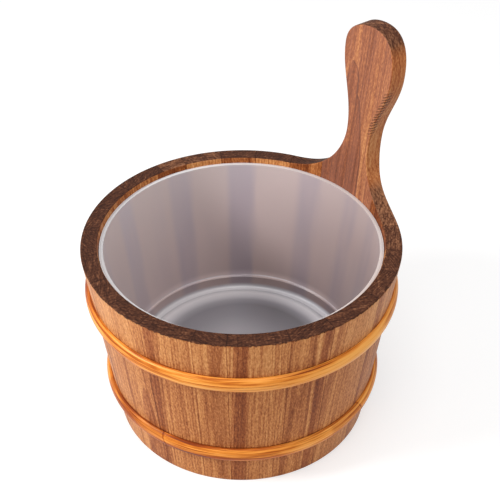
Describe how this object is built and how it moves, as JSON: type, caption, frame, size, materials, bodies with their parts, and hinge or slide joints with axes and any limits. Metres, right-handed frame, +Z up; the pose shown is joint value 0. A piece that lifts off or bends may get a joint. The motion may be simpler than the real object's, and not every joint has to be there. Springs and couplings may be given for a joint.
{
  "type": "wooden piggin",
  "caption": "Small tapered coopered bucket with one long stave as its handle, two cane hoops and a lift-out plastic liner, for water or dry goods.",
  "frame": {"origin": "where the bucket's axis meets the plane that it stands on", "axes": "+Z up along the bucket's axis, +X from the axis towards the handle stave, +Y to the left of a viewer who looks along +X"},
  "size_m": [0.2465, 0.2302, 0.2779],
  "materials": {
    "stave_wood": "satin varnish over reddish heartwood",
    "bottom_wood": "planed, bare",
    "cane": "satin varnish over split cane",
    "brad_metal": "dull",
    "liner_plastic": "translucent, smooth"
  },
  "bodies": {
    "bucket": {"handle_stave": "stave_wood", "stave_01": "stave_wood", "stave_02": "stave_wood", "stave_03": "stave_wood", "stave_04": "stave_wood", "stave_05": "stave_wood", "stave_06": "stave_wood", "stave_07": "stave_wood", "stave_08": "stave_wood", "stave_09": "stave_wood", "stave_10": "stave_wood", "stave_11": "stave_wood", "stave_12": "stave_wood", "stave_13": "stave_wood", "stave_14": "stave_wood", "stave_15": "stave_wood", "stave_16": "stave_wood", "stave_17": "stave_wood", "stave_18": "stave_wood", "stave_19": "stave_wood", "stave_20": "stave_wood", "stave_21": "stave_wood", "upper_hoop": "cane", "lower_hoop": "cane", "hoop_brads": "brad_metal", "bottom_board_left": "bottom_wood", "bottom_board_middle": "bottom_wood", "bottom_board_right": "bottom_wood"},
    "liner": {"liner": "liner_plastic"}
  },
  "joints": [
    {"name": "liner_lift", "type": "slide", "parent": "bucket", "child": "liner", "axis": [0, 0, 1], "range_m": [0, 0.125]}
  ]
}
